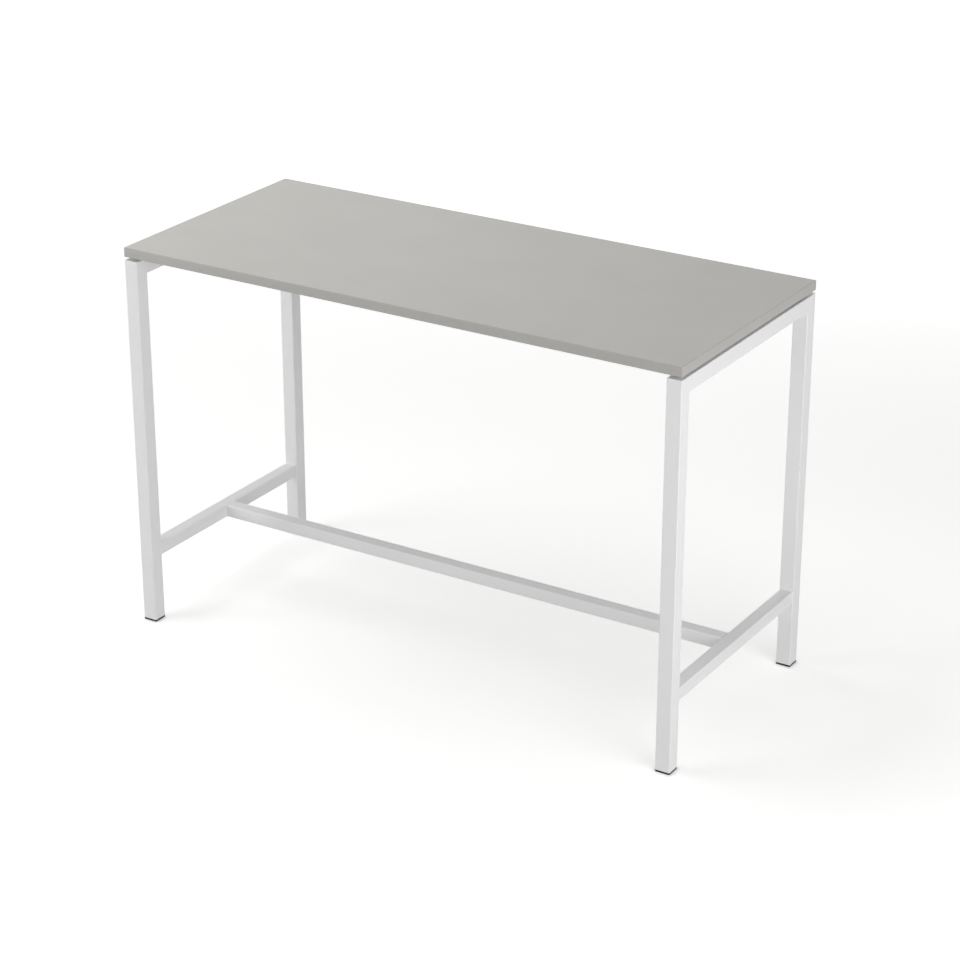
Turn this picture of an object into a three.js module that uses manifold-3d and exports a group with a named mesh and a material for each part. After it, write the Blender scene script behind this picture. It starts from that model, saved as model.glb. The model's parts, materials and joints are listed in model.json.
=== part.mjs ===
// Standing meeting table: a faced board with a banded edge on a frame of welded square tube.
// Two end arches of two legs and a mitred end rail stand on levelling feet. A low cross rail ties
// each pair of legs, a footrest bar joins the cross rails, and two beams carry the top's middle.
// Millimetres. X runs along the table, Y from front to back, Z up from the floor under its centre.

import * as THREE from 'three';
import { mergeVertices } from 'three/addons/utils/BufferGeometryUtils.js';
import Module from 'manifold-3d';

// Overall sizes
const TABLE_LENGTH = 1600;
const TABLE_DEPTH = 700;
const TABLE_HEIGHT = 1050;

// Top board, the band glued round its edge, and the gap that the spacers keep below it
const TOP_THICKNESS = 25;
const EDGE_BAND = 2;
const SHADOW_GAP = 8;

// Square tube of the legs and end rails, and how far it is set in from the top's edges
const LEG_SIZE = 40;
const LEG_WALL = 2;
const LEG_CORNER = 2.5;
const FRAME_INSET = 0;
const MITRE_GAP = 0.3;

// Square tube of the cross rails and the footrest bar
const RAIL_SIZE = 35;
const RAIL_WALL = 2;
const RAIL_CORNER = 2.5;
const RAIL_CENTRE_HEIGHT = 200;

// Spigots inside the ends of the footrest bar, and the screws that hold it on them
const SPIGOT_LENGTH = 45;
const SPIGOT_WALL = 2.5;
const SPIGOT_CORNER = 1;
const SPIGOT_CLEARANCE = 0.5;
const FOOTREST_SCREW_RADIUS = 3;
const FOOTREST_SCREW_HEAD_RADIUS = 5.25;
const FOOTREST_SCREW_HEAD_FLAT = 2.8;
const FOOTREST_SCREW_HEAD_HEIGHT = 3.3;
const FOOTREST_SCREW_TAIL = 5;

// Beams under the top, from the top's long edges to the beams' centre lines
const BEAM_HEIGHT = 40;
const BEAM_WIDTH = 20;
const BEAM_WALL = 2;
const BEAM_CORNER = 2;
const BEAM_SETBACK = 160;

// Plates on the beams' ends, and the flange bolts that hold them to the end rails
const PLATE_THICKNESS = 4;
const PLATE_MARGIN = 3;
const PLATE_CORNER = 4;
const PLATE_EDGE = 11;
const BOLT_TO_BEAM = 14;
const BOLT_RADIUS = 3;
const BOLT_FLANGE_RADIUS = 6.5;
const BOLT_FLANGE_HEIGHT = 1.2;
const BOLT_HEX = 10;
const BOLT_HEX_HEIGHT = 4.3;
const BOLT_TAIL = 8;

// Spacers and wood screws that fix the top, and how far those on the end rails lie from its long edges
const FIXING_INSET = 80;
const SPACER_RADIUS = 8;
const SCREW_RADIUS = 2.5;
const SCREW_HEAD_RADIUS = 5;
const SCREW_HEAD_FLAT = 3.4;
const SCREW_HEAD_HEIGHT = 3;
const SCREW_BITE = 16;
const SCREW_POINT = 4;
const SCREW_ACCESS = 1;

// Levelling feet: cap in the leg's end, nut, swivelling pad and threaded stud
const CAP_FLANGE = 4.5;
const CAP_FLOOR = 3;
const CAP_PLUG_CORNER = 1;
const CAP_PLUG_CLEARANCE = 0.3;
const CAP_POCKET_WALL = 3.5;
const PAD_PROUD = 1;
const PAD_HEIGHT = 6;
const PAD_FLOOR = 2;
const PAD_LIP = 1.5;
const PAD_CHAMFER = 1;
const PAD_CLEARANCE = 0.5;
const STUD_RADIUS = 4;
const STUD_CHAMFER = 1;
const STUD_BASE_RADIUS = 5.5;
const STUD_BASE_HEIGHT = 1.9;
const STUD_HEX = 13;
const STUD_HEX_HEIGHT = 4;
const STUD_SPARE = 4;
const NUT_HEX = 13;
const NUT_HEIGHT = 6.5;
const NUT_COVER = 4;
const FOOT_TRAVEL = 10;

// Fits
const THREAD_CLEARANCE = 0.3;
const RUNNING_GAP = 0.3;
const HEX_CLEARANCE = 0.3;

// Fineness of round shapes, and how far a cutter reaches past the face that it opens
const ROUND_SIDES = 16;
const CORNER_STEPS = 2;
const DOME_STEPS = 3;
const OVERCUT = 1;
const MERGE_DISTANCE = 1e-4;

// Heights and places that follow from the sizes above
const TOP_UNDERSIDE = TABLE_HEIGHT - TOP_THICKNESS;
const FRAME_TOP = TOP_UNDERSIDE - SHADOW_GAP;
const LEG_BOTTOM = PAD_PROUD + CAP_FLANGE;
const LEG_X = TABLE_LENGTH / 2 - FRAME_INSET - LEG_SIZE / 2;
const LEG_Y = TABLE_DEPTH / 2 - FRAME_INSET - LEG_SIZE / 2;
const END_RAIL_Z = FRAME_TOP - LEG_SIZE / 2;
const MITRE_SHIFT = MITRE_GAP / Math.SQRT2;
const CROSS_RAIL_FACE_X = LEG_X - RAIL_SIZE / 2;
const END_RAIL_FACE_X = LEG_X - LEG_SIZE / 2;
const BEAM_Y = TABLE_DEPTH / 2 - BEAM_SETBACK;
const BEAM_Z = FRAME_TOP - BEAM_HEIGHT / 2;
const BEAM_HALF_LENGTH = END_RAIL_FACE_X - PLATE_THICKNESS;
const BOLT_OFFSET_Y = BEAM_WIDTH / 2 + BOLT_TO_BEAM;
const FIXING_Y = TABLE_DEPTH / 2 - FIXING_INSET;
const SPIGOT_X = CROSS_RAIL_FACE_X - SPIGOT_LENGTH / 2;
const SPIGOT_SIZE = RAIL_SIZE - 2 * (RAIL_WALL + SPIGOT_CLEARANCE);

// Heights and sizes inside a levelling foot, from the floor up
const PLUG_SIZE = LEG_SIZE - 2 * (LEG_WALL + CAP_PLUG_CLEARANCE);
const POCKET_RADIUS = PLUG_SIZE / 2 - CAP_POCKET_WALL;
const COLLAR_BOTTOM = PAD_HEIGHT + RUNNING_GAP;
const COLLAR_TOP = COLLAR_BOTTOM + STUD_HEX_HEIGHT;
const COLLAR_CEILING = COLLAR_TOP + RUNNING_GAP;
const NUT_BOTTOM = COLLAR_CEILING + CAP_FLOOR;
const NUT_TOP = NUT_BOTTOM + NUT_HEIGHT;
const PLUG_TOP = NUT_TOP + NUT_COVER;
const STUD_BOTTOM = PAD_FLOOR + RUNNING_GAP;
const STUD_TOP = NUT_TOP + FOOT_TRAVEL + STUD_SPARE;

// Two axes by index, and the two ends of the table and its two long sides
const Y = 1;
const Z = 2;
const ENDS = [['left', -1], ['right', 1]];
const ROWS = [['front', -1], ['back', 1]];

const FINISHES = {
  board: { color: 0xc3c1bc, roughness: 0.5, metalness: 0 },
  edging: { color: 0xbdbbb6, roughness: 0.45, metalness: 0 },
  paint: { color: 0xf2f2f1, roughness: 0.4, metalness: 0 },
  plastic: { color: 0x161616, roughness: 0.6, metalness: 0 },
  zinc: { color: 0xb9bcbf, roughness: 0.35, metalness: 1 },
};

const wasm = await Module();
wasm.setup();

const table = new THREE.Group();

function addPart(parent, name, geometry, finish, x, y, z) {
  const mesh = new THREE.Mesh(geometry, new THREE.MeshStandardMaterial(FINISHES[finish]));
  mesh.name = name;
  mesh.position.set(x, y, z);
  parent.add(mesh);
}

// Solids for joins and cuts

function toSolid(geometry) {
  const bare = new THREE.BufferGeometry();
  bare.setAttribute('position', geometry.getAttribute('position'));
  bare.setIndex(geometry.getIndex());
  const merged = mergeVertices(bare, MERGE_DISTANCE);
  const corners = merged.getIndex().array;
  const triangles = [];
  for (let i = 0; i < corners.length; i += 3) {
    const [a, b, c] = corners.slice(i, i + 3);
    if (a !== b && b !== c && c !== a) {
      triangles.push(a, b, c);
    }
  }
  return new wasm.Manifold(new wasm.Mesh({
    numProp: 3,
    vertProperties: new Float32Array(merged.getAttribute('position').array),
    triVerts: new Uint32Array(triangles),
  }));
}

function toGeometry(solid) {
  const mesh = solid.getMesh();
  const geometry = new THREE.BufferGeometry();
  geometry.setAttribute('position', new THREE.BufferAttribute(mesh.vertProperties, 3));
  geometry.setIndex(new THREE.BufferAttribute(mesh.triVerts, 1));
  geometry.computeVertexNormals();
  return geometry;
}

function join(first, ...others) {
  return toGeometry(others.reduce((sum, other) => sum.add(toSolid(other)), toSolid(first)));
}

function cut(first, ...cutters) {
  return toGeometry(cutters.reduce((rest, cutter) => rest.subtract(toSolid(cutter)), toSolid(first)));
}

// Basic shapes

function roundedRectangle(width, height, radius, outline = new THREE.Shape()) {
  const right = width / 2 - radius;
  const top = height / 2 - radius;
  outline.absarc(right, top, radius, 0, Math.PI / 2);
  outline.absarc(-right, top, radius, Math.PI / 2, Math.PI);
  outline.absarc(-right, -top, radius, Math.PI, 1.5 * Math.PI);
  outline.absarc(right, -top, radius, 1.5 * Math.PI, 2 * Math.PI);
  outline.closePath();
  return outline;
}

// Extrudes an outline along Z, with its middle at the origin.
function slab(outline, depth) {
  const options = { depth, bevelEnabled: false, curveSegments: CORNER_STEPS };
  return new THREE.ExtrudeGeometry(outline, options).translate(0, 0, -depth / 2);
}

// A hollow section along Z, with its middle at the origin.
function tube(width, height, wall, corner, length) {
  const outline = roundedRectangle(width, height, corner);
  const innerCorner = Math.max(corner - wall, wall / 4);
  const bore = roundedRectangle(width - 2 * wall, height - 2 * wall, innerCorner, new THREE.Path());
  outline.holes.push(bore);
  return slab(outline, length);
}

function alongX(geometry) {
  return geometry.rotateY(Math.PI / 2);
}

function alongY(geometry) {
  return geometry.rotateX(-Math.PI / 2);
}

// A round bar along Z from one height to another.
function roundBar(radius, bottom, top) {
  const bar = new THREE.CylinderGeometry(radius, radius, top - bottom, ROUND_SIDES);
  return bar.rotateX(Math.PI / 2).translate(0, 0, (bottom + top) / 2);
}

// A hexagonal bar along Z, sized across its flats.
function hexBar(acrossFlats, bottom, top) {
  const radius = acrossFlats / Math.sqrt(3);
  const bar = new THREE.CylinderGeometry(radius, radius, top - bottom, 6);
  return bar.rotateX(Math.PI / 2).translate(0, 0, (bottom + top) / 2);
}

// A solid of revolution about Z from [radius, height] points, listed upward along the outside.
function turned(points) {
  const profile = points.map(([radius, height]) => new THREE.Vector2(radius, height));
  return new THREE.LatheGeometry(profile, ROUND_SIDES).rotateX(Math.PI / 2);
}

// The profile of a screw's head below height 0: a flat end, rounded over to the rim by a quarter ellipse.
function domedHead(radius, flat, height) {
  const points = [[0, -height]];
  for (let step = 0; step <= DOME_STEPS; step += 1) {
    const angle = (step / DOME_STEPS) * (Math.PI / 2);
    points.push([flat + (radius - flat) * Math.sin(angle), -height * Math.cos(angle)]);
  }
  return points;
}

// Leans one end of a straight piece: its end points move along it by slope times their place across it.
function leanEnd(geometry, along, across, end, slope) {
  const position = geometry.getAttribute('position');
  for (let i = 0; i < position.count; i += 1) {
    const place = position.getComponent(i, along);
    if (Math.sign(place) === end) {
      position.setComponent(i, along, place + slope * position.getComponent(i, across));
    }
  }
  geometry.computeVertexNormals();
  return geometry;
}

// Places where screws fix the top: two on each end rail and one in the middle of each beam

function topFixings() {
  const places = [];
  for (const [row, rowSign] of ROWS) {
    for (const [end, endSign] of ENDS) {
      places.push({ name: `${row}_${end}`, x: endSign * LEG_X, y: rowSign * FIXING_Y, wall: LEG_WALL });
    }
    places.push({ name: `${row}_middle`, x: 0, y: rowSign * BEAM_Y, wall: BEAM_WALL });
  }
  return places;
}

// The cutters for one top screw in a tube: a small hole in its upper wall, and a wide one in its lower
// wall that lets the head and the driver in.
function topScrewHoles(height, wall, x, y) {
  const shank = roundBar(SCREW_RADIUS + THREAD_CLEARANCE, -OVERCUT, height / 2 + OVERCUT);
  const bottom = -height / 2;
  const access = roundBar(SCREW_HEAD_RADIUS + SCREW_ACCESS, bottom - OVERCUT, bottom + wall + OVERCUT);
  return [shank.translate(x, y, 0), access.translate(x, y, 0)];
}

// Top

function addTop() {
  const coreLength = TABLE_LENGTH - 2 * EDGE_BAND;
  const coreDepth = TABLE_DEPTH - 2 * EDGE_BAND;
  const middle = TABLE_HEIGHT - TOP_THICKNESS / 2;
  const underside = -TOP_THICKNESS / 2;
  const pilots = topFixings().map(({ x, y }) => {
    const top = underside + SCREW_BITE + THREAD_CLEARANCE;
    return roundBar(SCREW_RADIUS + THREAD_CLEARANCE, underside - OVERCUT, top).translate(x, y, 0);
  });
  const board = cut(new THREE.BoxGeometry(coreLength, coreDepth, TOP_THICKNESS), ...pilots);
  addPart(table, 'table_top_board', board, 'board', 0, 0, middle);
  for (const [row, sign] of ROWS) {
    const band = new THREE.BoxGeometry(TABLE_LENGTH, EDGE_BAND, TOP_THICKNESS);
    const place = sign * (TABLE_DEPTH - EDGE_BAND) / 2;
    addPart(table, `edge_band_${row}`, band, 'edging', 0, place, middle);
  }
  for (const [end, sign] of ENDS) {
    const band = new THREE.BoxGeometry(EDGE_BAND, coreDepth, TOP_THICKNESS);
    const place = sign * (TABLE_LENGTH - EDGE_BAND) / 2;
    addPart(table, `edge_band_${end}`, band, 'edging', place, 0, middle);
  }
}

// Spacers between the frame and the top, and the wood screws through them

function addTopFixings() {
  for (const { name, x, y, wall } of topFixings()) {
    const bore = SCREW_RADIUS + THREAD_CLEARANCE;
    const ring = [
      [bore, 0],
      [SPACER_RADIUS, 0],
      [SPACER_RADIUS, SHADOW_GAP],
      [bore, SHADOW_GAP],
      [bore, 0],
    ];
    addPart(table, `spacer_${name}`, turned(ring), 'plastic', x, y, FRAME_TOP);
    const point = wall + SHADOW_GAP + SCREW_BITE;
    const screw = turned([
      ...domedHead(SCREW_HEAD_RADIUS, SCREW_HEAD_FLAT, SCREW_HEAD_HEIGHT),
      [SCREW_RADIUS, 0],
      [SCREW_RADIUS, point - SCREW_POINT],
      [0, point],
    ]);
    addPart(table, `top_screw_${name}`, screw, 'zinc', x, y, FRAME_TOP - wall);
  }
}

// End arches: legs with a mitred end rail across their tops, and a cross rail low down

function addLegs() {
  const top = END_RAIL_Z - MITRE_SHIFT;
  const length = top - LEG_BOTTOM;
  for (const [row, rowSign] of ROWS) {
    for (const [end, endSign] of ENDS) {
      const leg = tube(LEG_SIZE, LEG_SIZE, LEG_WALL, LEG_CORNER, length);
      leanEnd(leg, Z, Y, 1, rowSign);
      const middle = LEG_BOTTOM + length / 2;
      addPart(table, `leg_${row}_${end}`, leg, 'paint', endSign * LEG_X, rowSign * LEG_Y, middle);
    }
  }
}

function addEndRails() {
  for (const [end, endSign] of ENDS) {
    const length = 2 * (LEG_Y - MITRE_SHIFT);
    const rail = alongY(tube(LEG_SIZE, LEG_SIZE, LEG_WALL, LEG_CORNER, length));
    const cutters = [];
    for (const [, rowSign] of ROWS) {
      leanEnd(rail, Y, Z, rowSign, rowSign);
      cutters.push(...topScrewHoles(LEG_SIZE, LEG_WALL, 0, rowSign * FIXING_Y));
      for (const side of [-1, 1]) {
        const reach = LEG_WALL + OVERCUT;
        const hole = alongX(roundBar(BOLT_RADIUS + THREAD_CLEARANCE, -reach, reach));
        const boltY = rowSign * BEAM_Y + side * BOLT_OFFSET_Y;
        cutters.push(hole.translate(-endSign * LEG_SIZE / 2, boltY, 0));
      }
    }
    addPart(table, `end_rail_${end}`, cut(rail, ...cutters), 'paint', endSign * LEG_X, 0, END_RAIL_Z);
  }
}

function addCrossRails() {
  for (const [end, sign] of ENDS) {
    const rail = alongY(tube(RAIL_SIZE, RAIL_SIZE, RAIL_WALL, RAIL_CORNER, 2 * LEG_Y - LEG_SIZE));
    addPart(table, `cross_rail_${end}`, rail, 'paint', sign * LEG_X, 0, RAIL_CENTRE_HEIGHT);
  }
}

// Footrest bar, slid over a spigot on each cross rail and screwed from below

function addFootrest() {
  const hole = FOOTREST_SCREW_RADIUS + THREAD_CLEARANCE;
  const bottom = -RAIL_SIZE / 2;
  const holes = ENDS.map(([, sign]) => {
    const drill = roundBar(hole, bottom - OVERCUT, bottom + RAIL_WALL + OVERCUT / 2);
    return drill.translate(sign * SPIGOT_X, 0, 0);
  });
  const bar = alongX(tube(RAIL_SIZE, RAIL_SIZE, RAIL_WALL, RAIL_CORNER, 2 * CROSS_RAIL_FACE_X));
  addPart(table, 'footrest_bar', cut(bar, ...holes), 'paint', 0, 0, RAIL_CENTRE_HEIGHT);
  for (const [end, sign] of ENDS) {
    const spigot = alongX(tube(SPIGOT_SIZE, SPIGOT_SIZE, SPIGOT_WALL, SPIGOT_CORNER, SPIGOT_LENGTH));
    const tapped = cut(spigot, roundBar(hole, -SPIGOT_SIZE, 0));
    const x = sign * SPIGOT_X;
    addPart(table, `footrest_spigot_${end}`, tapped, 'paint', x, 0, RAIL_CENTRE_HEIGHT);
    const length = RAIL_WALL + SPIGOT_CLEARANCE + SPIGOT_WALL + FOOTREST_SCREW_TAIL;
    const screw = turned([
      ...domedHead(FOOTREST_SCREW_HEAD_RADIUS, FOOTREST_SCREW_HEAD_FLAT, FOOTREST_SCREW_HEAD_HEIGHT),
      [FOOTREST_SCREW_RADIUS, 0],
      [FOOTREST_SCREW_RADIUS, length],
      [0, length],
    ]);
    addPart(table, `footrest_screw_${end}`, screw, 'zinc', x, 0, RAIL_CENTRE_HEIGHT + bottom);
  }
}

// Beams under the top, with a plate on each end that bolts to the end rail

function addBeams() {
  for (const [row, sign] of ROWS) {
    const beam = alongX(tube(BEAM_HEIGHT, BEAM_WIDTH, BEAM_WALL, BEAM_CORNER, 2 * BEAM_HALF_LENGTH));
    const drilled = cut(beam, ...topScrewHoles(BEAM_HEIGHT, BEAM_WALL, 0, 0));
    addPart(table, `top_beam_${row}`, drilled, 'paint', 0, sign * BEAM_Y, BEAM_Z);
  }
}

function beamPlate() {
  const width = 2 * (BOLT_OFFSET_Y + PLATE_EDGE);
  const height = LEG_SIZE - 2 * PLATE_MARGIN;
  const plate = slab(roundedRectangle(height, width, PLATE_CORNER), PLATE_THICKNESS);
  const holes = [-1, 1].map((side) => {
    const hole = roundBar(BOLT_RADIUS + THREAD_CLEARANCE, -PLATE_THICKNESS, PLATE_THICKNESS);
    return hole.translate(0, side * BOLT_OFFSET_Y, 0);
  });
  return alongX(cut(plate, ...holes));
}

// A flange bolt along Z, with the underside of its head at the origin.
function flangeBolt() {
  const shank = turned([
    [0, -BOLT_FLANGE_HEIGHT],
    [BOLT_FLANGE_RADIUS, -BOLT_FLANGE_HEIGHT],
    [BOLT_FLANGE_RADIUS, 0],
    [BOLT_RADIUS, 0],
    [BOLT_RADIUS, PLATE_THICKNESS + LEG_WALL + BOLT_TAIL],
    [0, PLATE_THICKNESS + LEG_WALL + BOLT_TAIL],
  ]);
  const hex = hexBar(BOLT_HEX, -BOLT_FLANGE_HEIGHT - BOLT_HEX_HEIGHT, -BOLT_FLANGE_HEIGHT / 2);
  return join(shank, hex);
}

function addBeamPlates() {
  for (const [row, rowSign] of ROWS) {
    for (const [end, endSign] of ENDS) {
      const x = endSign * (END_RAIL_FACE_X - PLATE_THICKNESS / 2);
      const y = rowSign * BEAM_Y;
      addPart(table, `beam_plate_${row}_${end}`, beamPlate(), 'paint', x, y, END_RAIL_Z);
      for (const [side, name] of [[-1, 'a'], [1, 'b']]) {
        const bolt = flangeBolt().rotateY(endSign * Math.PI / 2);
        const boltY = y + side * BOLT_OFFSET_Y;
        const boltX = endSign * BEAM_HALF_LENGTH;
        addPart(table, `beam_bolt_${row}_${end}_${name}`, bolt, 'zinc', boltX, boltY, END_RAIL_Z);
      }
    }
  }
}

// Levelling feet, each in a group that stands on the floor under its leg

// The cap's pocket steps in from the pad to the stud's collar and its thread, with the nut above.
function footCap() {
  const flange = slab(roundedRectangle(LEG_SIZE, LEG_SIZE, LEG_CORNER), CAP_FLANGE);
  const plugHeight = PLUG_TOP - PAD_PROUD;
  const plug = slab(roundedRectangle(PLUG_SIZE, PLUG_SIZE, CAP_PLUG_CORNER), plugHeight);
  const body = join(
    flange.translate(0, 0, PAD_PROUD + CAP_FLANGE / 2),
    plug.translate(0, 0, PAD_PROUD + plugHeight / 2),
  );
  const collarRadius = STUD_HEX / Math.sqrt(3) + RUNNING_GAP;
  const threadRadius = STUD_RADIUS + THREAD_CLEARANCE;
  const pocket = turned([
    [0, PAD_PROUD - OVERCUT],
    [POCKET_RADIUS, PAD_PROUD - OVERCUT],
    [POCKET_RADIUS, PAD_HEIGHT],
    [collarRadius, PAD_HEIGHT],
    [collarRadius, COLLAR_CEILING],
    [threadRadius, COLLAR_CEILING],
    [threadRadius, PLUG_TOP + OVERCUT],
    [0, PLUG_TOP + OVERCUT],
  ]);
  const nutPocket = hexBar(NUT_HEX + 2 * HEX_CLEARANCE, NUT_BOTTOM, PLUG_TOP + OVERCUT);
  return cut(body, pocket, nutPocket);
}

function footNut() {
  const bore = roundBar(STUD_RADIUS + THREAD_CLEARANCE, NUT_BOTTOM - OVERCUT, NUT_TOP + OVERCUT);
  return cut(hexBar(NUT_HEX, NUT_BOTTOM, NUT_TOP), bore);
}

// The pad's socket is wider than its lip, so it keeps the stud's base.
function footPad() {
  const radius = POCKET_RADIUS - PAD_CLEARANCE;
  const lip = STUD_RADIUS + RUNNING_GAP;
  const socket = STUD_BASE_RADIUS + RUNNING_GAP;
  return turned([
    [0, 0],
    [radius - PAD_CHAMFER, 0],
    [radius, PAD_CHAMFER],
    [radius, PAD_HEIGHT],
    [lip, PAD_HEIGHT],
    [lip, PAD_HEIGHT - PAD_LIP],
    [socket, PAD_HEIGHT - PAD_LIP],
    [socket, PAD_FLOOR],
    [0, PAD_FLOOR],
  ]);
}

function footStud() {
  const shank = turned([
    [0, STUD_BOTTOM],
    [STUD_BASE_RADIUS, STUD_BOTTOM],
    [STUD_BASE_RADIUS, STUD_BOTTOM + STUD_BASE_HEIGHT],
    [STUD_RADIUS, STUD_BOTTOM + STUD_BASE_HEIGHT],
    [STUD_RADIUS, STUD_TOP - STUD_CHAMFER],
    [STUD_RADIUS - STUD_CHAMFER, STUD_TOP],
    [0, STUD_TOP],
  ]);
  return join(shank, hexBar(STUD_HEX, COLLAR_BOTTOM, COLLAR_TOP));
}

function addFeet() {
  for (const [row, rowSign] of ROWS) {
    for (const [end, endSign] of ENDS) {
      const foot = new THREE.Group();
      foot.position.set(endSign * LEG_X, rowSign * LEG_Y, 0);
      addPart(foot, `foot_cap_${row}_${end}`, footCap(), 'plastic', 0, 0, 0);
      addPart(foot, `foot_nut_${row}_${end}`, footNut(), 'zinc', 0, 0, 0);
      addPart(foot, `foot_pad_${row}_${end}`, footPad(), 'plastic', 0, 0, 0);
      addPart(foot, `foot_stud_${row}_${end}`, footStud(), 'zinc', 0, 0, 0);
      table.add(foot);
    }
  }
}

addTop();
addTopFixings();
addLegs();
addEndRails();
addCrossRails();
addFootrest();
addBeams();
addBeamPlates();
addFeet();

export default table;
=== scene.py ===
"""Looks of a standing meeting table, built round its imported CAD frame.

The file is laid out as an add-on and run as a script. Each operator makes one group of like pieces from
the frame's boxes and the sizes in the sidebar, and the last one makes the studio. Lengths are in metres.
X runs along the table, Y from front to back, Z up.
"""

import json
import math
from typing import NamedTuple

import bpy
import numpy as np
from bpy.props import FloatProperty, FloatVectorProperty, PointerProperty
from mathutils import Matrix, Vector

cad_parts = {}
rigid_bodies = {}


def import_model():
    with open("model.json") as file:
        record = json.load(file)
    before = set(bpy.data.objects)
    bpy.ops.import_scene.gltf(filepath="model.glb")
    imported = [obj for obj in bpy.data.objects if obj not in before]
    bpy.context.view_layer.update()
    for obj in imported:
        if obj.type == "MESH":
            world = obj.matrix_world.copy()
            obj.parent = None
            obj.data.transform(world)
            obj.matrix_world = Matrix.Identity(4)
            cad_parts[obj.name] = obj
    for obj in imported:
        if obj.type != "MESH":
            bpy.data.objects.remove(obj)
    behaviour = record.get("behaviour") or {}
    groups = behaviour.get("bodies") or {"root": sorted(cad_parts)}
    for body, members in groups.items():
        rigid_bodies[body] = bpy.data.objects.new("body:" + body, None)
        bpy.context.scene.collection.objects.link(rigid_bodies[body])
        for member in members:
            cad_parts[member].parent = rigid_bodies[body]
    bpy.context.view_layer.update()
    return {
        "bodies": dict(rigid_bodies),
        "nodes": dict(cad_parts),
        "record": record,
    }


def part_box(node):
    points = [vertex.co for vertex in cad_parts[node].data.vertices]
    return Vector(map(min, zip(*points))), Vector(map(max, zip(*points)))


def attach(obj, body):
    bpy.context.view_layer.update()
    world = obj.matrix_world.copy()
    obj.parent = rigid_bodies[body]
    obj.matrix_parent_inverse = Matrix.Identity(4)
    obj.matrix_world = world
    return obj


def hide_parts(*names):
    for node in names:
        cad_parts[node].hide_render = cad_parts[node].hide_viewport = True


bl_info = {
    "name": "Standing meeting table",
    "version": (1, 0, 0),
    "blender": (4, 5, 0),
    "location": "3D View > Sidebar > Table",
    "description": "Makes the detailed pieces, finishes and studio of a standing meeting table",
    "category": "Object",
}

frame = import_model()
RECORD = frame["record"]
BODY_OF = {node: body for body, nodes in RECORD["behaviour"]["bodies"].items() for node in nodes}
SLOT_OF = {row["node"]: row["material_slot"] for row in RECORD["subparts"]}

MM = 0.001
ROWS = ("front", "back")
ENDS = ("left", "right")
SIGNS = {"front": -1, "back": 1, "left": -1, "right": 1}
CORNERS = [f"{row}_{end}" for row in ROWS for end in ENDS]
FIXINGS = [*CORNERS, "front_middle", "back_middle"]

# World directions of a section's two axes and its length, for a piece along each axis
ALONG_X = np.array([[0, 1, 0], [0, 0, 1], [1, 0, 0]])
ALONG_MINUS_X = np.array([[0, 1, 0], [0, 0, -1], [-1, 0, 0]])
ALONG_Y = np.array([[0, 0, 1], [1, 0, 0], [0, 1, 0]])
ALONG_Z = np.eye(3, dtype=int)

# Sides of a section, in the order that its outline passes them
HIGH_SECOND, LOW_FIRST, LOW_SECOND, HIGH_FIRST = range(4)

# Fineness of the meshes
CORNER_STEPS = 6
HOLD = 0.3 * MM
ROUND_SIDES = 48
THREAD_RINGS_A_TURN = 16
HOLE_FILL = 7
WELD_STEPS = 5
POINTS_A_RIPPLE = 4
SHARP_ANGLE = math.radians(38)

# Radii of the holes in the frame
SCREW_HOLE = 2.8 * MM
ACCESS_HOLE = 6.0 * MM
BOLT_HOLE = 3.3 * MM

# Inside of a levelling foot, as in the CAD part
PAD_TOP = 6.0 * MM
COLLAR_CEILING = 10.6 * MM
NUT_BOTTOM = 13.6 * MM
STUD_RADIUS = 4.0 * MM
STUD_FLATS = 13.0 * MM
FOOT_CLEARANCE = 0.3 * MM

# A metric thread: its depth as a share of its pitch, and the plain length below a bolt's head
THREAD_DEPTH = 0.55
THREAD_RUN_OUT = 0.5 * MM


def linear(code):
    """Linear red, green and blue of an sRGB hex code."""
    share = np.array([int(code[k : k + 2], 16) for k in (1, 3, 5)]) / 255
    curve = np.where(share <= 0.04045, share / 12.92, ((share + 0.055) / 1.055) ** 2.4)
    return tuple(float(value) for value in curve)


# Sizes, finishes and light that a user may change


def length(name, description, default, least):
    """A property for a length, its default and least value given in millimetres."""
    return FloatProperty(
        name=name,
        description=description,
        default=default * MM,
        min=least * MM,
        unit="LENGTH",
        precision=5,
    )


def colour(name, description, code):
    """A property for a colour, its default given as an sRGB hex code."""
    return FloatVectorProperty(
        name=name,
        description=description,
        default=linear(code),
        min=0,
        max=1,
        subtype="COLOR",
    )


def power(name, description, watts):
    """A property for the power of a soft box."""
    return FloatProperty(name=name, description=description, default=watts, min=0, subtype="POWER")


class TableSizes(bpy.types.PropertyGroup):
    """Sizes of the details that the frame's boxes don't give."""

    tube_wall: length("Tube wall", "Wall of the legs, rails, footrest bar and beams", 2.0, 1.0)
    tube_corner: length("Tube corner", "Outer corner radius of the square tubes", 2.5, 0.5)
    beam_corner: length("Beam corner", "Outer corner radius of the beams under the top", 2.0, 0.5)
    weld_leg: length("Weld leg", "Size of the fillet welds where a tube butts on another piece", 1.8, 0.5)
    weld_ripple: length("Weld ripple", "Spacing of the ripples along a weld", 2.2, 1.0)
    band_arris: length("Band arris", "Radius scraped on the outer edges of the edge band", 1.0, 0.2)
    foot_pitch: length("Foot thread pitch", "Pitch of the levelling studs' thread", 1.25, 0.5)
    bolt_pitch: length("Bolt thread pitch", "Pitch of the bolts' and footrest screws' thread", 1.0, 0.5)
    wood_pitch: length("Wood screw pitch", "Pitch of the wood screws' thread", 2.2, 0.5)


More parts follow.
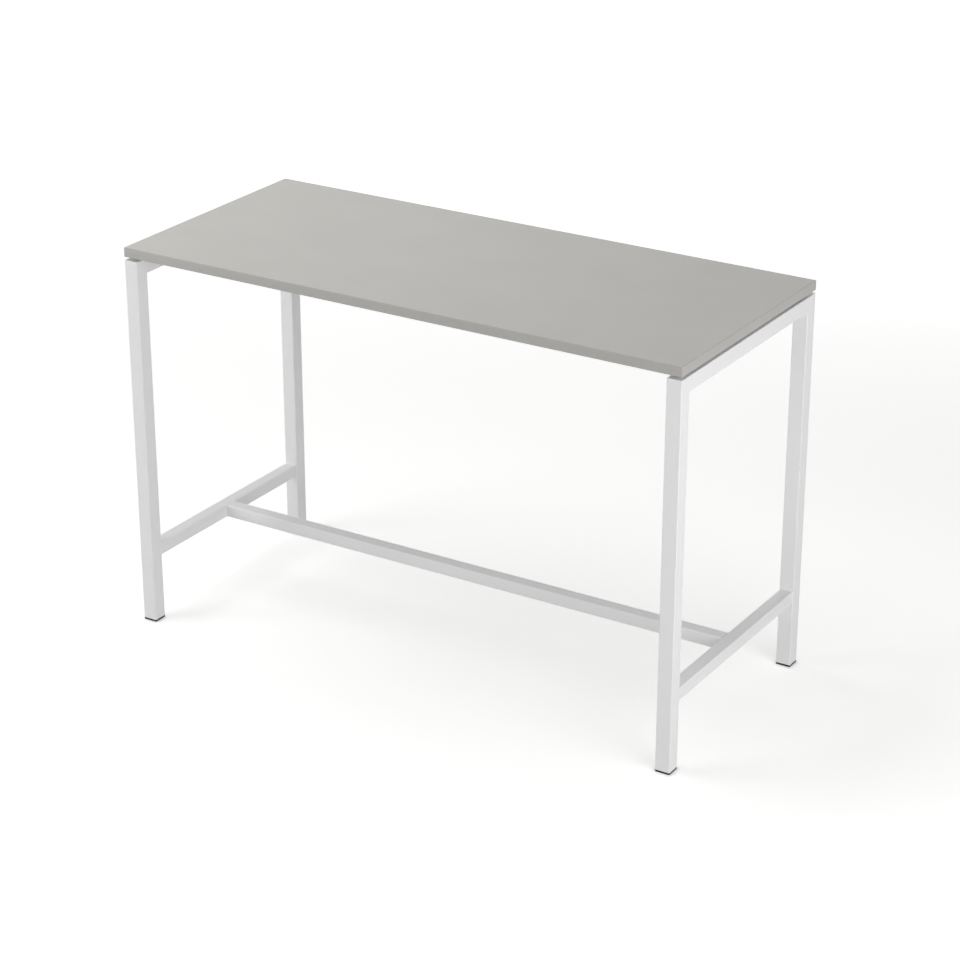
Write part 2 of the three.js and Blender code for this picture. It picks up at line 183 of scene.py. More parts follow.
class TableFinishes(bpy.types.PropertyGroup):
    """Colours of the finishes."""

    board: colour("Board", "Melamine face of the top board", "#cac8c3")
    band: colour("Edge band", "ABS band round the board", "#adaba7")
    paint: colour("Frame", "Powder coat on the steel frame", "#ebebec")
    nylon: colour("Feet", "Moulded nylon of the feet and spacers", "#0a0a0a")
    zinc: colour("Fixings", "Zinc plate on the screws, bolts and studs", "#bfc2c5")


class TableStudio(bpy.types.PropertyGroup):
    """Strengths of the studio's lights, and its floor."""

    sky: FloatProperty(name="Sky", description="Even light from all round", default=0.18, min=0)
    overhead: power("Overhead box", "Power of the large soft box above the table", 49)
    right: power("Right box", "Power of the large soft box at the table's right front", 95)
    left: power("Left box", "Power of the soft box at the table's left front", 66)
    back: power("Back box", "Power of the large soft box behind the table", 28)
    near: power("Near box", "Power of the small soft box close to the table's right end", 17)
    floor: colour("Floor", "Colour of the studio floor", "#e9e9e8")
    floor_lift: FloatProperty(
        name="Floor lift",
        description="Light that only the camera sees on the floor round the table, so it comes out white",
        default=0.46,
        min=0,
        max=1,
    )


# Finishes


class Finish(NamedTuple):
    """What a finish gives the eye: its material's name, its colour's property and its grain.

    The grain's size and depth are in metres. Roughness runs from the grain's hollows to its crests, tone
    is the share by which the colour varies, and cloud is the width of broad drifts in it. Constants are
    numbers that are the same all over, by their socket on the shader.
    """

    material: str
    colour: str
    grain: float
    depth: float
    roughness: tuple
    tone: float
    cloud: float
    constants: dict


FINISHES = {
    # Printed paper pressed in resin against a fine pearl plate, so matt and even. The pearl is about 0.4 mm
    # across, too fine for the render, so it is drawn at 4 mm
    "melamine_board": Finish(
        material="melamine_pearl_face",
        colour="board",
        grain=4.0 * MM,
        depth=0.34 * MM,
        roughness=(0.55, 0.7),
        tone=0.035,
        cloud=180 * MM,
        constants={},
    ),
    # Extruded ABS, embossed to match the board and scraped on its edges, a little glossier. The emboss is
    # about 0.4 mm across, too fine for the render, so it is drawn at 3 mm
    "edge_banding": Finish(
        material="abs_edge_band",
        colour="band",
        grain=3.0 * MM,
        depth=0.2 * MM,
        roughness=(0.34, 0.48),
        tone=0.03,
        cloud=120 * MM,
        constants={"IOR": 1.54},
    ),
    # Polyester powder baked on steel: an even satin white with the soft orange peel of melted powder, whose
    # lumps are about 3 mm across
    "white_powder_coat": Finish(
        material="satin_powder_coat",
        colour="paint",
        grain=3.0 * MM,
        depth=0.12 * MM,
        roughness=(0.36, 0.46),
        tone=0.012,
        cloud=90 * MM,
        constants={},
    ),
    # Black nylon from a spark-eroded mould, with a dull even grain that swallows half of the gloss. The
    # grain is about 0.3 mm across, too fine for the render, so it is drawn at 0.8 mm
    "black_nylon": Finish(
        material="moulded_nylon",
        colour="nylon",
        grain=0.8 * MM,
        depth=0.02 * MM,
        roughness=(0.5, 0.62),
        tone=0.12,
        cloud=12 * MM,
        constants={"IOR": 1.53, "Specular IOR Level": 0.25},
    ),
    # Bright zinc plate on steel, clear passivated, so faintly clouded every few millimetres and lightly
    # scratched by handling
    "zinc_steel": Finish(
        material="zinc_plated_steel",
        colour="zinc",
        grain=0.6 * MM,
        depth=0.006 * MM,
        roughness=(0.26, 0.4),
        tone=0.07,
        cloud=5 * MM,
        constants={"Metallic": 1.0},
    ),
}

# Nearly all values of a noise texture lie between these
NOISE_LOW, NOISE_HIGH = 0.3, 0.7
FINE_NOISE = {"Detail": 2.0, "Roughness": 0.55}
BROAD_NOISE = {"Detail": 3.0, "Roughness": 0.5}

# Places of the colours among a mix node's inputs and outputs, where other types share their names
MIX_FIRST, MIX_SECOND, MIX_RESULT = 6, 7, 2

made_materials = {}


def add_node(tree, kind, inputs=(), **settings):
    """Adds a node, sets its attributes, and gives each named input a value or a link from an output."""
    node = tree.nodes.new(kind)
    for name, value in settings.items():
        setattr(node, name, value)
    for name, value in dict(inputs).items():
        if isinstance(value, bpy.types.NodeSocket):
            tree.links.new(value, node.inputs[name])
        else:
            node.inputs[name].default_value = value
    return node


def empty_tree(owner):
    """The node tree of a material or world, with no nodes in it."""
    owner.use_nodes = True
    owner.node_tree.nodes.clear()
    return owner.node_tree


def toned(hue, share):
    """A colour made lighter or darker by a share, with its alpha."""
    return (*(min(part * share, 1.0) for part in hue), 1.0)


def grained_material(finish):
    """A material whose grain carries bump, roughness and a little tone.

    The tone also drifts in broad clouds, as a sheet or a coat does from batch to batch and spot to spot.
    """
    hue = getattr(bpy.context.scene.table_finishes, finish.colour)
    material = bpy.data.materials.new(finish.material)
    tree = empty_tree(material)
    place = add_node(tree, "ShaderNodeTexCoord").outputs["Object"]
    fine_inputs = {"Vector": place, "Scale": 1 / finish.grain, **FINE_NOISE}
    fine = add_node(tree, "ShaderNodeTexNoise", fine_inputs).outputs[0]
    broad_inputs = {"Vector": place, "Scale": 1 / finish.cloud, **BROAD_NOISE}
    broad = add_node(tree, "ShaderNodeTexNoise", broad_inputs).outputs[0]
    both = add_node(tree, "ShaderNodeMath", {0: fine, 1: broad}, operation="ADD").outputs[0]
    spread = {"Value": both, "From Min": 2 * NOISE_LOW, "From Max": 2 * NOISE_HIGH}
    shade = add_node(tree, "ShaderNodeMapRange", spread).outputs[0]
    darker, lighter = toned(hue, 1 - finish.tone), toned(hue, 1 + finish.tone)
    tones = {"Factor": shade, MIX_FIRST: darker, MIX_SECOND: lighter}
    base = add_node(tree, "ShaderNodeMix", tones, data_type="RGBA").outputs[MIX_RESULT]
    low, high = finish.roughness
    gloss = {"Value": fine, "From Min": NOISE_LOW, "From Max": NOISE_HIGH, "To Min": low, "To Max": high}
    rough = add_node(tree, "ShaderNodeMapRange", gloss).outputs[0]
    relief = {"Height": fine, "Strength": 1.0, "Distance": finish.depth}
    normal = add_node(tree, "ShaderNodeBump", relief).outputs["Normal"]
    surface = {"Base Color": base, "Roughness": rough, "Normal": normal, **finish.constants}
    shader = add_node(tree, "ShaderNodeBsdfPrincipled", surface).outputs[0]
    add_node(tree, "ShaderNodeOutputMaterial", {"Surface": shader})
    return material


def finish_for(slot):
    """The material of a slot, made the first time that it is asked for."""
    if slot not in made_materials:
        made_materials[slot] = grained_material(FINISHES[slot])
    return made_materials[slot]


# Skins


class Skin(NamedTuple):
    """Points of a closed surface, and the quads and triangles that join them by number."""

    points: np.ndarray
    quads: np.ndarray
    triangles: np.ndarray


NO_TRIANGLES = np.empty((0, 3), dtype=int)


def box_of(node):
    """A node's lowest and highest corner, as arrays."""
    low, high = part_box(node)
    return np.array(low), np.array(high)


def middle_of(node):
    """The middle of a node's box."""
    low, high = box_of(node)
    return (low + high) / 2


def unit(vectors):
    """Vectors scaled to a length of 1."""
    return vectors / np.linalg.norm(vectors, axis=1, keepdims=True)


def at_height(loop, height):
    """A flat loop of points, raised to a height."""
    return np.column_stack([loop, np.full(len(loop), height)])


def bridge(first, second):
    """Quads between two loops of numbers, each a side of the first and the like side of the second."""
    return np.stack([first, np.roll(first, -1), np.roll(second, -1), second], axis=1)


def loft(rings, closed=False, poles=None):
    """A skin through rings of points: quad k of ring i joins points k and k + 1 to those of ring i + 1.

    A closed loft joins its last ring to its first. An open one ends in a fan round a pole, which is the
    end ring's middle unless it is given.
    """
    count, around = rings.shape[:2]
    points = rings.reshape(-1, 3)
    numbers = np.arange(count * around).reshape(count, around)
    ahead = np.roll(numbers, -1, axis=1)
    quads = np.stack([numbers, ahead, np.roll(ahead, -1, axis=0), np.roll(numbers, -1, axis=0)], axis=2)
    if closed:
        return Skin(points, quads.reshape(-1, 4), NO_TRIANGLES)
    if poles is None:
        poles = rings[[0, -1]].mean(axis=1)
    first, last = np.full(around, len(points)), np.full(around, len(points) + 1)
    fans = [
        np.stack([first, ahead[0], numbers[0]], axis=1),
        np.stack([last, numbers[-1], ahead[-1]], axis=1),
    ]
    return Skin(np.vstack([points, poles]), quads[:-1].reshape(-1, 4), np.vstack(fans))


def block_loop(numbers, rows, columns):
    """Point numbers round a block of a grid, in the direction of the grid's own quads."""
    (top, bottom), (left, right) = rows, columns
    down, across = np.arange(top, bottom), np.arange(left, right)
    row = [np.full(across.size, top), down, np.full(across.size, bottom), down[::-1] + 1]
    column = [across, np.full(down.size, right), across[::-1] + 1, np.full(down.size, left)]
    return numbers[np.concatenate(row) % numbers.shape[0], np.concatenate(column) % numbers.shape[1]]


def block_inside(numbers, rows, columns):
    """Every point number of a block of a grid, its edges included."""
    row, column = np.arange(rows[0], rows[1] + 1), np.arange(columns[0], columns[1] + 1)
    return numbers[np.ix_(row % numbers.shape[0], column % numbers.shape[1])].ravel()


def hole_rings(points, mouth, exit_mouth, radius):
    """Rings down a round hole, from a square mouth in one face to the like mouth in the other.

    Each mouth point is drawn in to the hole's rim along its line from the hole's middle. The rim is eased
    by a small chamfer.
    """
    chamfer = 0.25 * MM
    middle, exit_middle = points[mouth].mean(axis=0), points[exit_mouth].mean(axis=0)
    outward = unit(points[mouth] - middle)
    down = (exit_middle - middle) / np.linalg.norm(exit_middle - middle)
    return np.stack(
        [
            middle + (radius + chamfer) * outward,
            middle + chamfer * down + radius * outward,
            exit_middle + radius * outward,
        ]
    )


def drill(skin, numbers, rows, columns, back_rows, radius):
    """A skin with a round hole from a block of its grid of numbers to the block that lies behind it."""
    mouth = block_loop(numbers, rows, columns)
    last = numbers.shape[0] - 1
    exit_mouth = block_loop(numbers[::-1], (last - back_rows[1], last - back_rows[0]), columns)
    opened = np.isin(skin.quads, block_inside(numbers, rows, columns)).all(axis=1)
    opened |= np.isin(skin.quads, block_inside(numbers, back_rows, columns)).all(axis=1)
    rings = hole_rings(skin.points, mouth, exit_mouth, radius)
    fresh = len(skin.points) + np.arange(rings.shape[0] * mouth.size).reshape(rings.shape[0], -1)
    chain = [mouth, *fresh, exit_mouth]
    walls = [bridge(first, second) for first, second in zip(chain, chain[1:])]
    points = np.vstack([skin.points, rings.reshape(-1, 3)])
    return Skin(points, np.vstack([skin.quads[~opened], *walls]), skin.triangles)


def placed(skin, axes, origin):
    """A skin turned to a piece's axes and moved to its origin."""
    return skin._replace(points=skin.points @ axes + origin)


def add_object(name, points, faces, material):
    """Makes an object from points and the faces that join them, with one material."""
    mesh = bpy.data.meshes.new(name)
    mesh.from_pydata(points.tolist(), [], faces)
    if mesh.validate():
        raise RuntimeError(f"{name} has faulty faces")
    mesh.materials.append(material)
    made = bpy.data.objects.new(name, mesh)
    bpy.context.scene.collection.objects.link(made)
    return made


def add_piece(name, skin, node):
    """Makes a skin an object that stands for a CAD node, with its body, slot and finish."""
    slot = SLOT_OF[node]
    faces = skin.quads.tolist() + skin.triangles.tolist()
    piece = add_object(name, skin.points, faces, finish_for(slot))
    piece.data.shade_smooth()
    piece.data.set_sharp_from_angle(angle=SHARP_ANGLE)
    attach(piece, BODY_OF[node])
    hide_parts(node)
    return piece


def keep_node(name):
    """Gives a CAD node that stays the procedural finish of its slot."""
    mesh = frame["nodes"][name].data
    mesh.materials.clear()
    mesh.materials.append(finish_for(SLOT_OF[name]))


# Outlines and tubes


def outline(low, high, radii, hold=HOLD, fill=(0, 0)):
    """A loop round a rectangle, anticlockwise, with an arc of its own radius at each corner.

    An arc's points are its centre plus its radius times the cosine and sine of an angle that grows by a
    quarter turn. A point a hold away from each end of an arc keeps the shading of the flats flat, and
    fill gives how many more points lie along the sides of each direction.
    """
    corners = np.array([[high[0], high[1]], [low[0], high[1]], [low[0], low[1]], [high[0], low[1]]])
    inward = np.array([[-1, -1], [1, -1], [1, 1], [-1, 1]])
    radii = np.broadcast_to(radii, 4)
    centres = corners + inward * radii[:, None]
    angles = (np.arange(4)[:, None] + np.linspace(0, 1, CORNER_STEPS + 1)) * np.pi / 2
    spokes = np.stack([np.cos(angles), np.sin(angles)], axis=2)
    arcs = centres[:, None] + radii[:, None, None] * spokes
    ahead = np.stack([-spokes[..., 1], spokes[..., 0]], axis=2)
    before, after = arcs[:, :1] - hold * ahead[:, :1], arcs[:, -1:] + hold * ahead[:, -1:]
    bends = np.concatenate([before, arcs, after], axis=1)
    parts = []
    for corner in range(4):
        share = np.arange(1, fill[corner % 2] + 1)[:, None] / (fill[corner % 2] + 1)
        start, end = bends[corner, -1], bends[(corner + 1) % 4, 0]
        parts += [bends[corner], start + share * (end - start)]
    return np.concatenate(parts)


def side_columns(side, fill):
    """First and last column of a side of an outline, between its hold points."""
    bend = CORNER_STEPS + 3
    first = sum(bend + fill[corner % 2] for corner in range(side)) + bend - 1
    return first, first + fill[side % 2] + 1


class Hole(NamedTuple):
    """A round hole through one wall of a tube."""

    side: int
    along: float
    radius: float


class Tube(NamedTuple):
    """A square tube along its third axis: its size across, its wall and corner, and its two ends.

    Lean gives, for each end, how far it runs on along the tube for each step across its two axes.
    """

    size: tuple
    wall: float
    corner: float
    ends: tuple
    lean: tuple = ((0, 0), (0, 0))
    holes: tuple = ()
    fill: tuple = (0, 0)


def hole_cell(tube, hole):
    """Stations along a tube across one hole: as many steps as the side has, over a square."""
    across = tube.size[hole.side % 2] / 2 - tube.corner - HOLD
    return hole.along + np.linspace(-across, across, tube.fill[hole.side % 2] + 2)


def tube_rings(tube, extra=()):
    """Rings of a tube: its outline carried along its stations outside, then the bore's outline back."""
    half = np.array(tube.size) / 2
    outer = outline(-half, half, tube.corner, fill=tube.fill)
    bore_corner = max(tube.corner - tube.wall, tube.wall / 4)
    bore = outline(tube.wall - half, half - tube.wall, bore_corner, fill=tube.fill)
    cells = [hole_cell(tube, hole) for hole in tube.holes]
    stations = np.unique(np.concatenate([tube.ends, extra, *cells]).round(8))
    lean = np.zeros((stations.size, 2))
    lean[0], lean[-1] = tube.lean
    walls = []
    for loop in (outer, bore):
        along = stations[:, None] + lean @ loop.T
        across = np.broadcast_to(loop, (stations.size, *loop.shape))
        walls.append(np.concatenate([across, along[..., None]], axis=2))
    return np.concatenate([walls[0], walls[1][::-1]]), stations


def tube_skin(tube, rings, stations):
    """A closed loft through a tube's rings, with its holes drilled through their walls."""
    skin = loft(rings, closed=True)
    numbers = np.arange(rings.shape[0] * rings.shape[1]).reshape(rings.shape[:2])
    last = rings.shape[0] - 1
    for hole in tube.holes:
        cell = hole_cell(tube, hole)
        rows = tuple(int(np.abs(stations - place).argmin()) for place in (cell[0], cell[-1]))
        back_rows = (last - rows[1], last - rows[0])
        skin = drill(skin, numbers, rows, side_columns(hole.side, tube.fill), back_rows, hole.radius)
    return skin


def weld_fill(size, sizes):
    """Points along the sides of a section, close enough together to carry a weld's ripples."""
    return tuple(int(side / sizes.weld_ripple * POINTS_A_RIPPLE) for side in size)


def weld_stations(ends, leg):
    """Stations near both ends of a tube that carry its welds, and a hold beyond each."""
    steps = leg * np.arange(1, WELD_STEPS + 1) / WELD_STEPS
    steps = np.append(steps, leg + HOLD)
    return np.concatenate([ends[0] + steps, ends[1] - steps])


def with_welds(rings, leg, ripple, fall):
    """Rings of a tube with a fillet weld raised round each end.

    At a share u of the leg from the end, the outline moves out by leg times (1 - u), plus a bulge of
    sin(pi u) that ripples with the distance round the tube. Fall says how far the piece that the tube
    butts on drops away from its face under each point, and the weld's toe follows it.
    """
    bulge, ripple_share = 0.22, 0.45
    shaped = rings.copy()
    count = rings.shape[0] // 2
    loop = rings[count // 2, :, :2]
    ahead = unit(np.roll(loop, -1, axis=0) - np.roll(loop, 1, axis=0))
    outward = np.stack([ahead[:, 1], -ahead[:, 0]], axis=1)
    walked = np.cumsum(np.linalg.norm(loop - np.roll(loop, 1, axis=0), axis=1))
    turns = np.round(walked[-1] / ripple)
    wave = 1 + ripple_share * np.cos(2 * np.pi * turns * walked / walked[-1])
    steps = np.arange(WELD_STEPS + 1)
    share = steps[:, None] / WELD_STEPS
    lift = leg * ((1 - share) + bulge * np.sin(np.pi * share) * wave)
    moved = loop + lift[..., None] * outward
    toe = fall(loop + leg * outward) * (1 - share)
    for rows, sign in ((steps, -1), (count - 1 - steps, 1)):
        shaped[rows, :, :2] = moved
        shaped[rows, :, 2] += sign * toe
    return shaped


def tube_along(node, axes):
    """Size across, two ends and middle of a node that is a tube along the third of its axes."""
    low, high = box_of(node)
    extent = axes @ (high - low)
    middle = (low + high) / 2
    return tuple(np.abs(extent[:2])), (-extent[2] / 2, extent[2] / 2), middle


# Turned pieces


def round_angles():
    """Angles of the points of a ring."""
    return np.arange(ROUND_SIDES) * 2 * np.pi / ROUND_SIDES


def stacked(angles, rows):
    """Rings from rows of a radius, which may change with the angle, and a height."""
    radius = np.stack([np.broadcast_to(row[0], angles.shape) for row in rows])
    height = np.broadcast_to(np.array([row[1] for row in rows])[:, None], radius.shape)
    return np.stack([radius * np.cos(angles), radius * np.sin(angles), height], axis=2)


def hexagon(angles, flats):
    """Radius of a hexagon at each angle: half its width across flats over the cosine from the flat."""
    return flats / 2 / np.cos(angles % (np.pi / 3) - np.pi / 6)


def cross(angles, arm, half_width):
    """Radius of a cross at each angle: the farther edge of two bars that lie square to each other."""
    nothing = 1e-9
    run, rise = np.abs(np.cos(angles)) + nothing, np.abs(np.sin(angles)) + nothing
    level = np.minimum(arm / run, half_width / rise)
    upright = np.minimum(half_width / run, arm / rise)
    return np.maximum(level, upright)


def thread_rows(angles, low, high, radius, pitch, depth):
    """Rows of a right-hand thread: the radius dips by half the depth times 1 plus a cosine.

    The cosine's angle is the height in turns of the pitch, less the angle round the axis. The dip fades
    out over the first and last pitch.
    """
    count = int(round((high - low) / pitch * THREAD_RINGS_A_TURN))
    heights = np.linspace(low, high, count + 1)
    phase = 2 * np.pi * heights[:, None] / pitch - angles
    fade = np.clip(np.minimum(heights - low, high - heights) / pitch, 0, 1)
    dip = depth * fade[:, None] * (1 + np.cos(phase)) / 2
    return list(zip(radius - dip, heights))


def rounded_rim(radius, flat, height, steps=5):
    """Rows of a domed head below height 0: a quarter ellipse from the flat's edge out to the rim."""
    turn = np.linspace(0, np.pi / 2, steps + 1)
    return list(zip(flat + (radius - flat) * np.sin(turn), -height * np.cos(turn)))


def hex_rows(angles, flats, low, high, ease):
    """Rows of a hexagonal bar whose corners are eased by a cone at both ends.

    Along the ease, the radius is the lesser of the hexagon's and the cone's, which widens from a little
    inside the flats to the corners.
    """
    shares = np.array([0.0, 0.35, 0.7, 1.0])
    cone_start, corner = 0.96 * flats / 2, flats / math.sqrt(3)
    radii = np.minimum(hexagon(angles, flats), cone_start + shares[:, None] * (corner - cone_start))
    bottom = zip(radii, low + shares * ease)
    top = zip(radii[::-1], high - shares[::-1] * ease)
    return [*bottom, *top]


# Top board and edge bands


class TABLE_OT_top_board(bpy.types.Operator):
    """Make the faced board, with the blind holes that the wood screws bite in"""

    bl_idname = "table.top_board"
    bl_label = "Top board"

    def execute(self, context):
        low, high = box_of("table_top_board")
        screws = np.array([middle_of(f"top_screw_{name}") for name in FIXINGS])
        skin = board_skin(low, high, screws, box_of("top_screw_front_left")[1][2])
        add_piece("board_panel", skin, "table_top_board")
        return {"FINISHED"}


def board_skin(low, high, screws, screw_top):
    """A flat slab: one grid of points seen from above, at two heights, joined round its edge.

    The lower grid has a square opened under each screw and drawn in to a round blind hole.
    """
    radius, spare, cell, cell_points = 2.8 * MM, 0.3 * MM, 6 * MM, 5
    depth = screw_top + spare - low[2]
    steps = np.linspace(-cell, cell, cell_points)
    stations = []
    for axis in (0, 1):
        inside = (np.unique(screws[:, axis].round(6))[:, None] + steps).ravel()
        stations.append(np.concatenate([[low[axis]], inside, [high[axis]]]))
    flat = np.stack(np.meshgrid(*stations, indexing="ij"), axis=2).reshape(-1, 2)
    count = len(flat)
    points = np.vstack([at_height(flat, low[2]), at_height(flat, high[2])])
    lower = np.arange(count).reshape(stations[0].size, stations[1].size)
    below = np.stack([lower[:-1, :-1], lower[:-1, 1:], lower[1:, 1:], lower[1:, :-1]], axis=2)
    below = below.reshape(-1, 4)
    edge = block_loop(lower, (0, lower.shape[0] - 1), (0, lower.shape[1] - 1))
    quads = [below[:, ::-1] + count, bridge(edge + count, edge)]
    triangles, extra = [], []
    fresh = len(points)
    opened = np.zeros(len(below), dtype=bool)
    for screw in screws:
        rows, columns = (
            tuple(int(np.abs(stations[axis] - screw[axis] - side).argmin()) for side in (-cell, cell))
            for axis in (0, 1)
        )
        opened |= np.isin(below, block_inside(lower, rows, columns)).all(axis=1)
        mouth = block_loop(lower, rows, columns)
        outward = unit(points[mouth] - points[mouth].mean(axis=0))
        rim = np.array([screw[0], screw[1], low[2]]) + radius * outward
        end = rim + np.array([0, 0, depth])
        rim_numbers = fresh + np.arange(mouth.size)
        end_numbers = rim_numbers + mouth.size
        pole = np.full(mouth.size, fresh + 2 * mouth.size)
        extra += [rim, end, end.mean(axis=0, keepdims=True)]
        quads += [bridge(mouth, rim_numbers), bridge(rim_numbers, end_numbers)]
        triangles.append(np.stack([end_numbers, np.roll(end_numbers, -1), pole], axis=1))
        fresh += 2 * mouth.size + 1
    return Skin(np.vstack([points, *extra]), np.vstack([below[~opened], *quads]), np.vstack(triangles))


class TABLE_OT_edge_bands(bpy.types.Operator):
    """Make the bands round the board, with their outer edges scraped round"""

    bl_idname = "table.edge_bands"
    bl_label = "Edge bands"

    def execute(self, context):
        arris = context.scene.table_sizes.band_arris
        for side in (*ROWS, *ENDS):
            low, high = box_of(f"edge_band_{side}")
            skin = loft(band_rings(low, high, side, arris))
            add_piece(f"abs_band_{side}", skin, f"edge_band_{side}")
        return {"FINISHED"}


def band_rings(low, high, side, arris):
    """Rings up a band: its outline drawn in at the top and bottom by a quarter round of the arris.

    The side that is glued to the board, and the ends that butt on another band, stay all but sharp.
    """
    crisp, hold, spare = 0.12 * MM, 0.08 * MM, 0.2 * MM
    turn = np.linspace(0, np.pi / 2, CORNER_STEPS + 1)
    draw = np.concatenate([1 - np.sin(turn), 1 - np.cos(turn)])
    rise = np.concatenate([1 - np.cos(turn), np.sin(turn) - 1])
    heights = np.repeat([low[2], high[2]], turn.size) + rise * arris
    long_band = side in ROWS
    outer = {"front": (1, 0), "back": (1, 1), "left": (0, 0), "right": (0, 1)}[side]
    soft = np.full((2, 2), crisp / arris)
    soft[outer] = 1
    if long_band:
        soft[0] = 1
    rings = []
    for inset, height in zip(draw * arris, heights):
        near = low[:2] + inset * soft[:, 0]
        far = high[:2] - inset * soft[:, 1]
        rounds = np.full(4, crisp)
        if long_band:
            first = 0 if side == "back" else 2
            rounds[first : first + 2] = arris - inset + spare
        rings.append(at_height(outline(near, far, rounds, hold), height))
    return np.stack(rings)


# Frame


class TABLE_OT_end_arches(bpy.types.Operator):
    """Make the legs and end rails, mitred and ground flush where they meet"""

    bl_idname = "table.end_arches"
    bl_label = "End arches"

    def execute(self, context):
        sizes = context.scene.table_sizes
        wall, corner_radius = sizes.tube_wall, sizes.tube_corner
        for corner in CORNERS:
            row, end = corner.split("_")
            node = f"leg_{corner}"
            size, _, middle = tube_along(node, ALONG_Z)
            ends = (box_of(node)[0][2], middle_of(f"end_rail_{end}")[2])
            tube = Tube(size, wall, corner_radius, ends, lean=((0, 0), (0, SIGNS[row])))
            skin = tube_skin(tube, *tube_rings(tube))
            add_piece(f"leg_tube_{corner}", placed(skin, ALONG_Z, middle * (1, 1, 0)), node)
        for end in ENDS:
            node = f"end_rail_{end}"
            size, _, middle = tube_along(node, ALONG_Y)
            ends = tuple(middle_of(f"leg_{row}_{end}")[1] for row in ROWS)
            lean, fill = ((-1, 0), (1, 0)), (HOLE_FILL, HOLE_FILL)
            tube = Tube(size, wall, corner_radius, ends, lean, end_rail_holes(end), fill)
            skin = tube_skin(tube, *tube_rings(tube))
            add_piece(f"end_rail_tube_{end}", placed(skin, ALONG_Y, middle * (1, 0, 1)), node)
        return {"FINISHED"}


def end_rail_holes(end):
    """Holes of an end rail: one up and one down at each top screw, and one at each bolt."""
    holes = []
    inner = LOW_SECOND if end == "right" else HIGH_SECOND
    for row in ROWS:
        screw = middle_of(f"top_screw_{row}_{end}")[1]
        holes += [Hole(HIGH_FIRST, screw, SCREW_HOLE), Hole(LOW_FIRST, screw, ACCESS_HOLE)]
        for side in ("a", "b"):
            bolt = middle_of(f"beam_bolt_{row}_{end}_{side}")[1]
            holes.append(Hole(inner, bolt, BOLT_HOLE))
    return tuple(holes)


class TABLE_OT_cross_rails(bpy.types.Operator):
    """Make the low rails between the legs, with a fillet weld round each end"""

    bl_idname = "table.cross_rails"
    bl_label = "Cross rails"

    def execute(self, context):
        sizes = context.scene.table_sizes
        for end in ENDS:
            node = f"cross_rail_{end}"
            size, ends, middle = tube_along(node, ALONG_Y)
            leg_low, leg_high = box_of(f"leg_front_{end}")
            leg_half = (leg_high[0] - leg_low[0]) / 2
            tube = Tube(size, sizes.tube_wall, sizes.tube_corner, ends, fill=weld_fill(size, sizes))
            rings, stations = tube_rings(tube, weld_stations(ends, sizes.weld_leg))
            fall = leg_fall(leg_half, sizes.tube_corner)
            rings = with_welds(rings, sizes.weld_leg, sizes.weld_ripple, fall)
            skin = placed(tube_skin(tube, rings, stations), ALONG_Y, middle)
            add_piece(f"cross_rail_tube_{end}", skin, node)
        return {"FINISHED"}


def leg_fall(half, corner):
    """How far a leg's round corner drops from its face: its radius less the arc's height.

    It is followed nearly to the end of the arc, where it would drop straight.
    """
    followed = 0.95 * corner

    def fall(loop):
        """The drop under each point of a loop."""
        past = np.clip(np.abs(loop[:, 1]) - (half - corner), 0, followed)
        return corner - np.sqrt(corner**2 - past**2)

    return fall


def no_fall(loop):
    """How far a flat plate drops from its own face: nowhere at all."""
    return np.zeros(len(loop))


class TABLE_OT_footrest(bpy.types.Operator):
    """Make the footrest bar and the button-head screws under its ends"""

    bl_idname = "table.footrest"
    bl_label = "Footrest"

    def execute(self, context):
        sizes = context.scene.table_sizes
        size, ends, middle = tube_along("footrest_bar", ALONG_X)
        screws = [middle_of(f"footrest_screw_{end}")[0] for end in ENDS]
        holes = tuple(Hole(LOW_SECOND, screw, BOLT_HOLE) for screw in screws)
        fill = (HOLE_FILL, HOLE_FILL)
        tube = Tube(size, sizes.tube_wall, sizes.tube_corner, ends, holes=holes, fill=fill)
        skin = tube_skin(tube, *tube_rings(tube))
        add_piece("footrest_tube", placed(skin, ALONG_X, middle), "footrest_bar")
        for end in ENDS:
            node = f"footrest_screw_{end}"
            seat = np.append(middle_of(node)[:2], box_of("footrest_bar")[0][2])
            screw = button_screw(box_of(node)[1][2] - seat[2], sizes.bolt_pitch)
            add_piece(f"button_screw_{end}", placed(screw, ALONG_Z, seat), node)
            keep_node(f"footrest_spigot_{end}")
        return {"FINISHED"}


def button_screw(reach, pitch):
    """A button-head screw, its head's underside at height 0: a domed head with a hexagon socket."""
    radius, flat, height, shank, chamfer = 5.25 * MM, 2.8 * MM, 3.3 * MM, 3.0 * MM, 0.7 * MM
    socket, socket_depth, socket_draw, ease = 4.0 * MM, 2.1 * MM, 0.98, 0.15 * MM
    angles = round_angles()
    key = hexagon(angles, socket)
    rows = [
        (key * socket_draw, socket_depth - height),
        (key, socket_depth - height - ease),
        (key, ease - height),
        (np.minimum(key + ease, flat), -height),
        *rounded_rim(radius, flat, height),
        (shank, 0.0),
        *thread_rows(angles, THREAD_RUN_OUT, reach - chamfer, shank, pitch, pitch * THREAD_DEPTH),
        (shank - chamfer, reach),
    ]
    return loft(stacked(angles, rows))


# Beams under the top


class TABLE_OT_top_beams(bpy.types.Operator):
    """Make the beams under the top, their end plates and the flange bolts that hold them"""

    bl_idname = "table.top_beams"
    bl_label = "Beams"

    def execute(self, context):
        sizes = context.scene.table_sizes
        for row in ROWS:
            add_beam(row, sizes)
        for corner in CORNERS:
            add_beam_end(corner, sizes.bolt_pitch)
        return {"FINISHED"}


